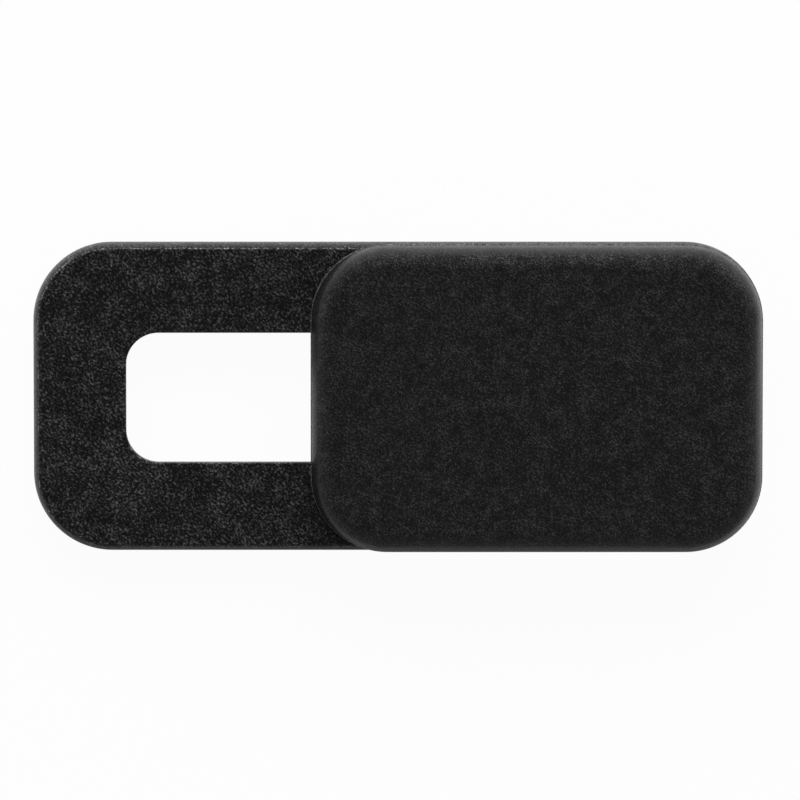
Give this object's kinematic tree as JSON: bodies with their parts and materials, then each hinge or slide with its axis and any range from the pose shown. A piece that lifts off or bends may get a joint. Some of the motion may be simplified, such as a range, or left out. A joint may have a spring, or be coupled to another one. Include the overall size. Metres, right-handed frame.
{
  "type": "webcam cover slider",
  "caption": "Flat rounded webcam privacy cover: an adhesive-backed base frame with a camera window and a shutter plate that slides along it to open or close the view.",
  "frame": {"origin": "middle of the adhesive pad's sticky face, under the middle of the base frame", "axes": "+X along the slide towards the end where the cover rests with the window open, +Y across the frame, +Z out of the front face, away from the screen it sticks to"},
  "size_m": [0.019, 0.008, 0.0016],
  "materials": {
    "base_plastic": "coarse spark-eroded grain, satin",
    "cover_plastic": "fine moulded grain, soft satin",
    "adhesive_tape": "smooth, slightly tacky"
  },
  "bodies": {
    "base": {"base_frame": "base_plastic", "adhesive_pad": "adhesive_tape"},
    "cover": {"slide_cover": "cover_plastic"}
  },
  "joints": [
    {"name": "cover_slide", "type": "slide", "parent": "base", "child": "cover", "axis": [-1, 0, 0], "range_m": [0, 0.00722]}
  ]
}
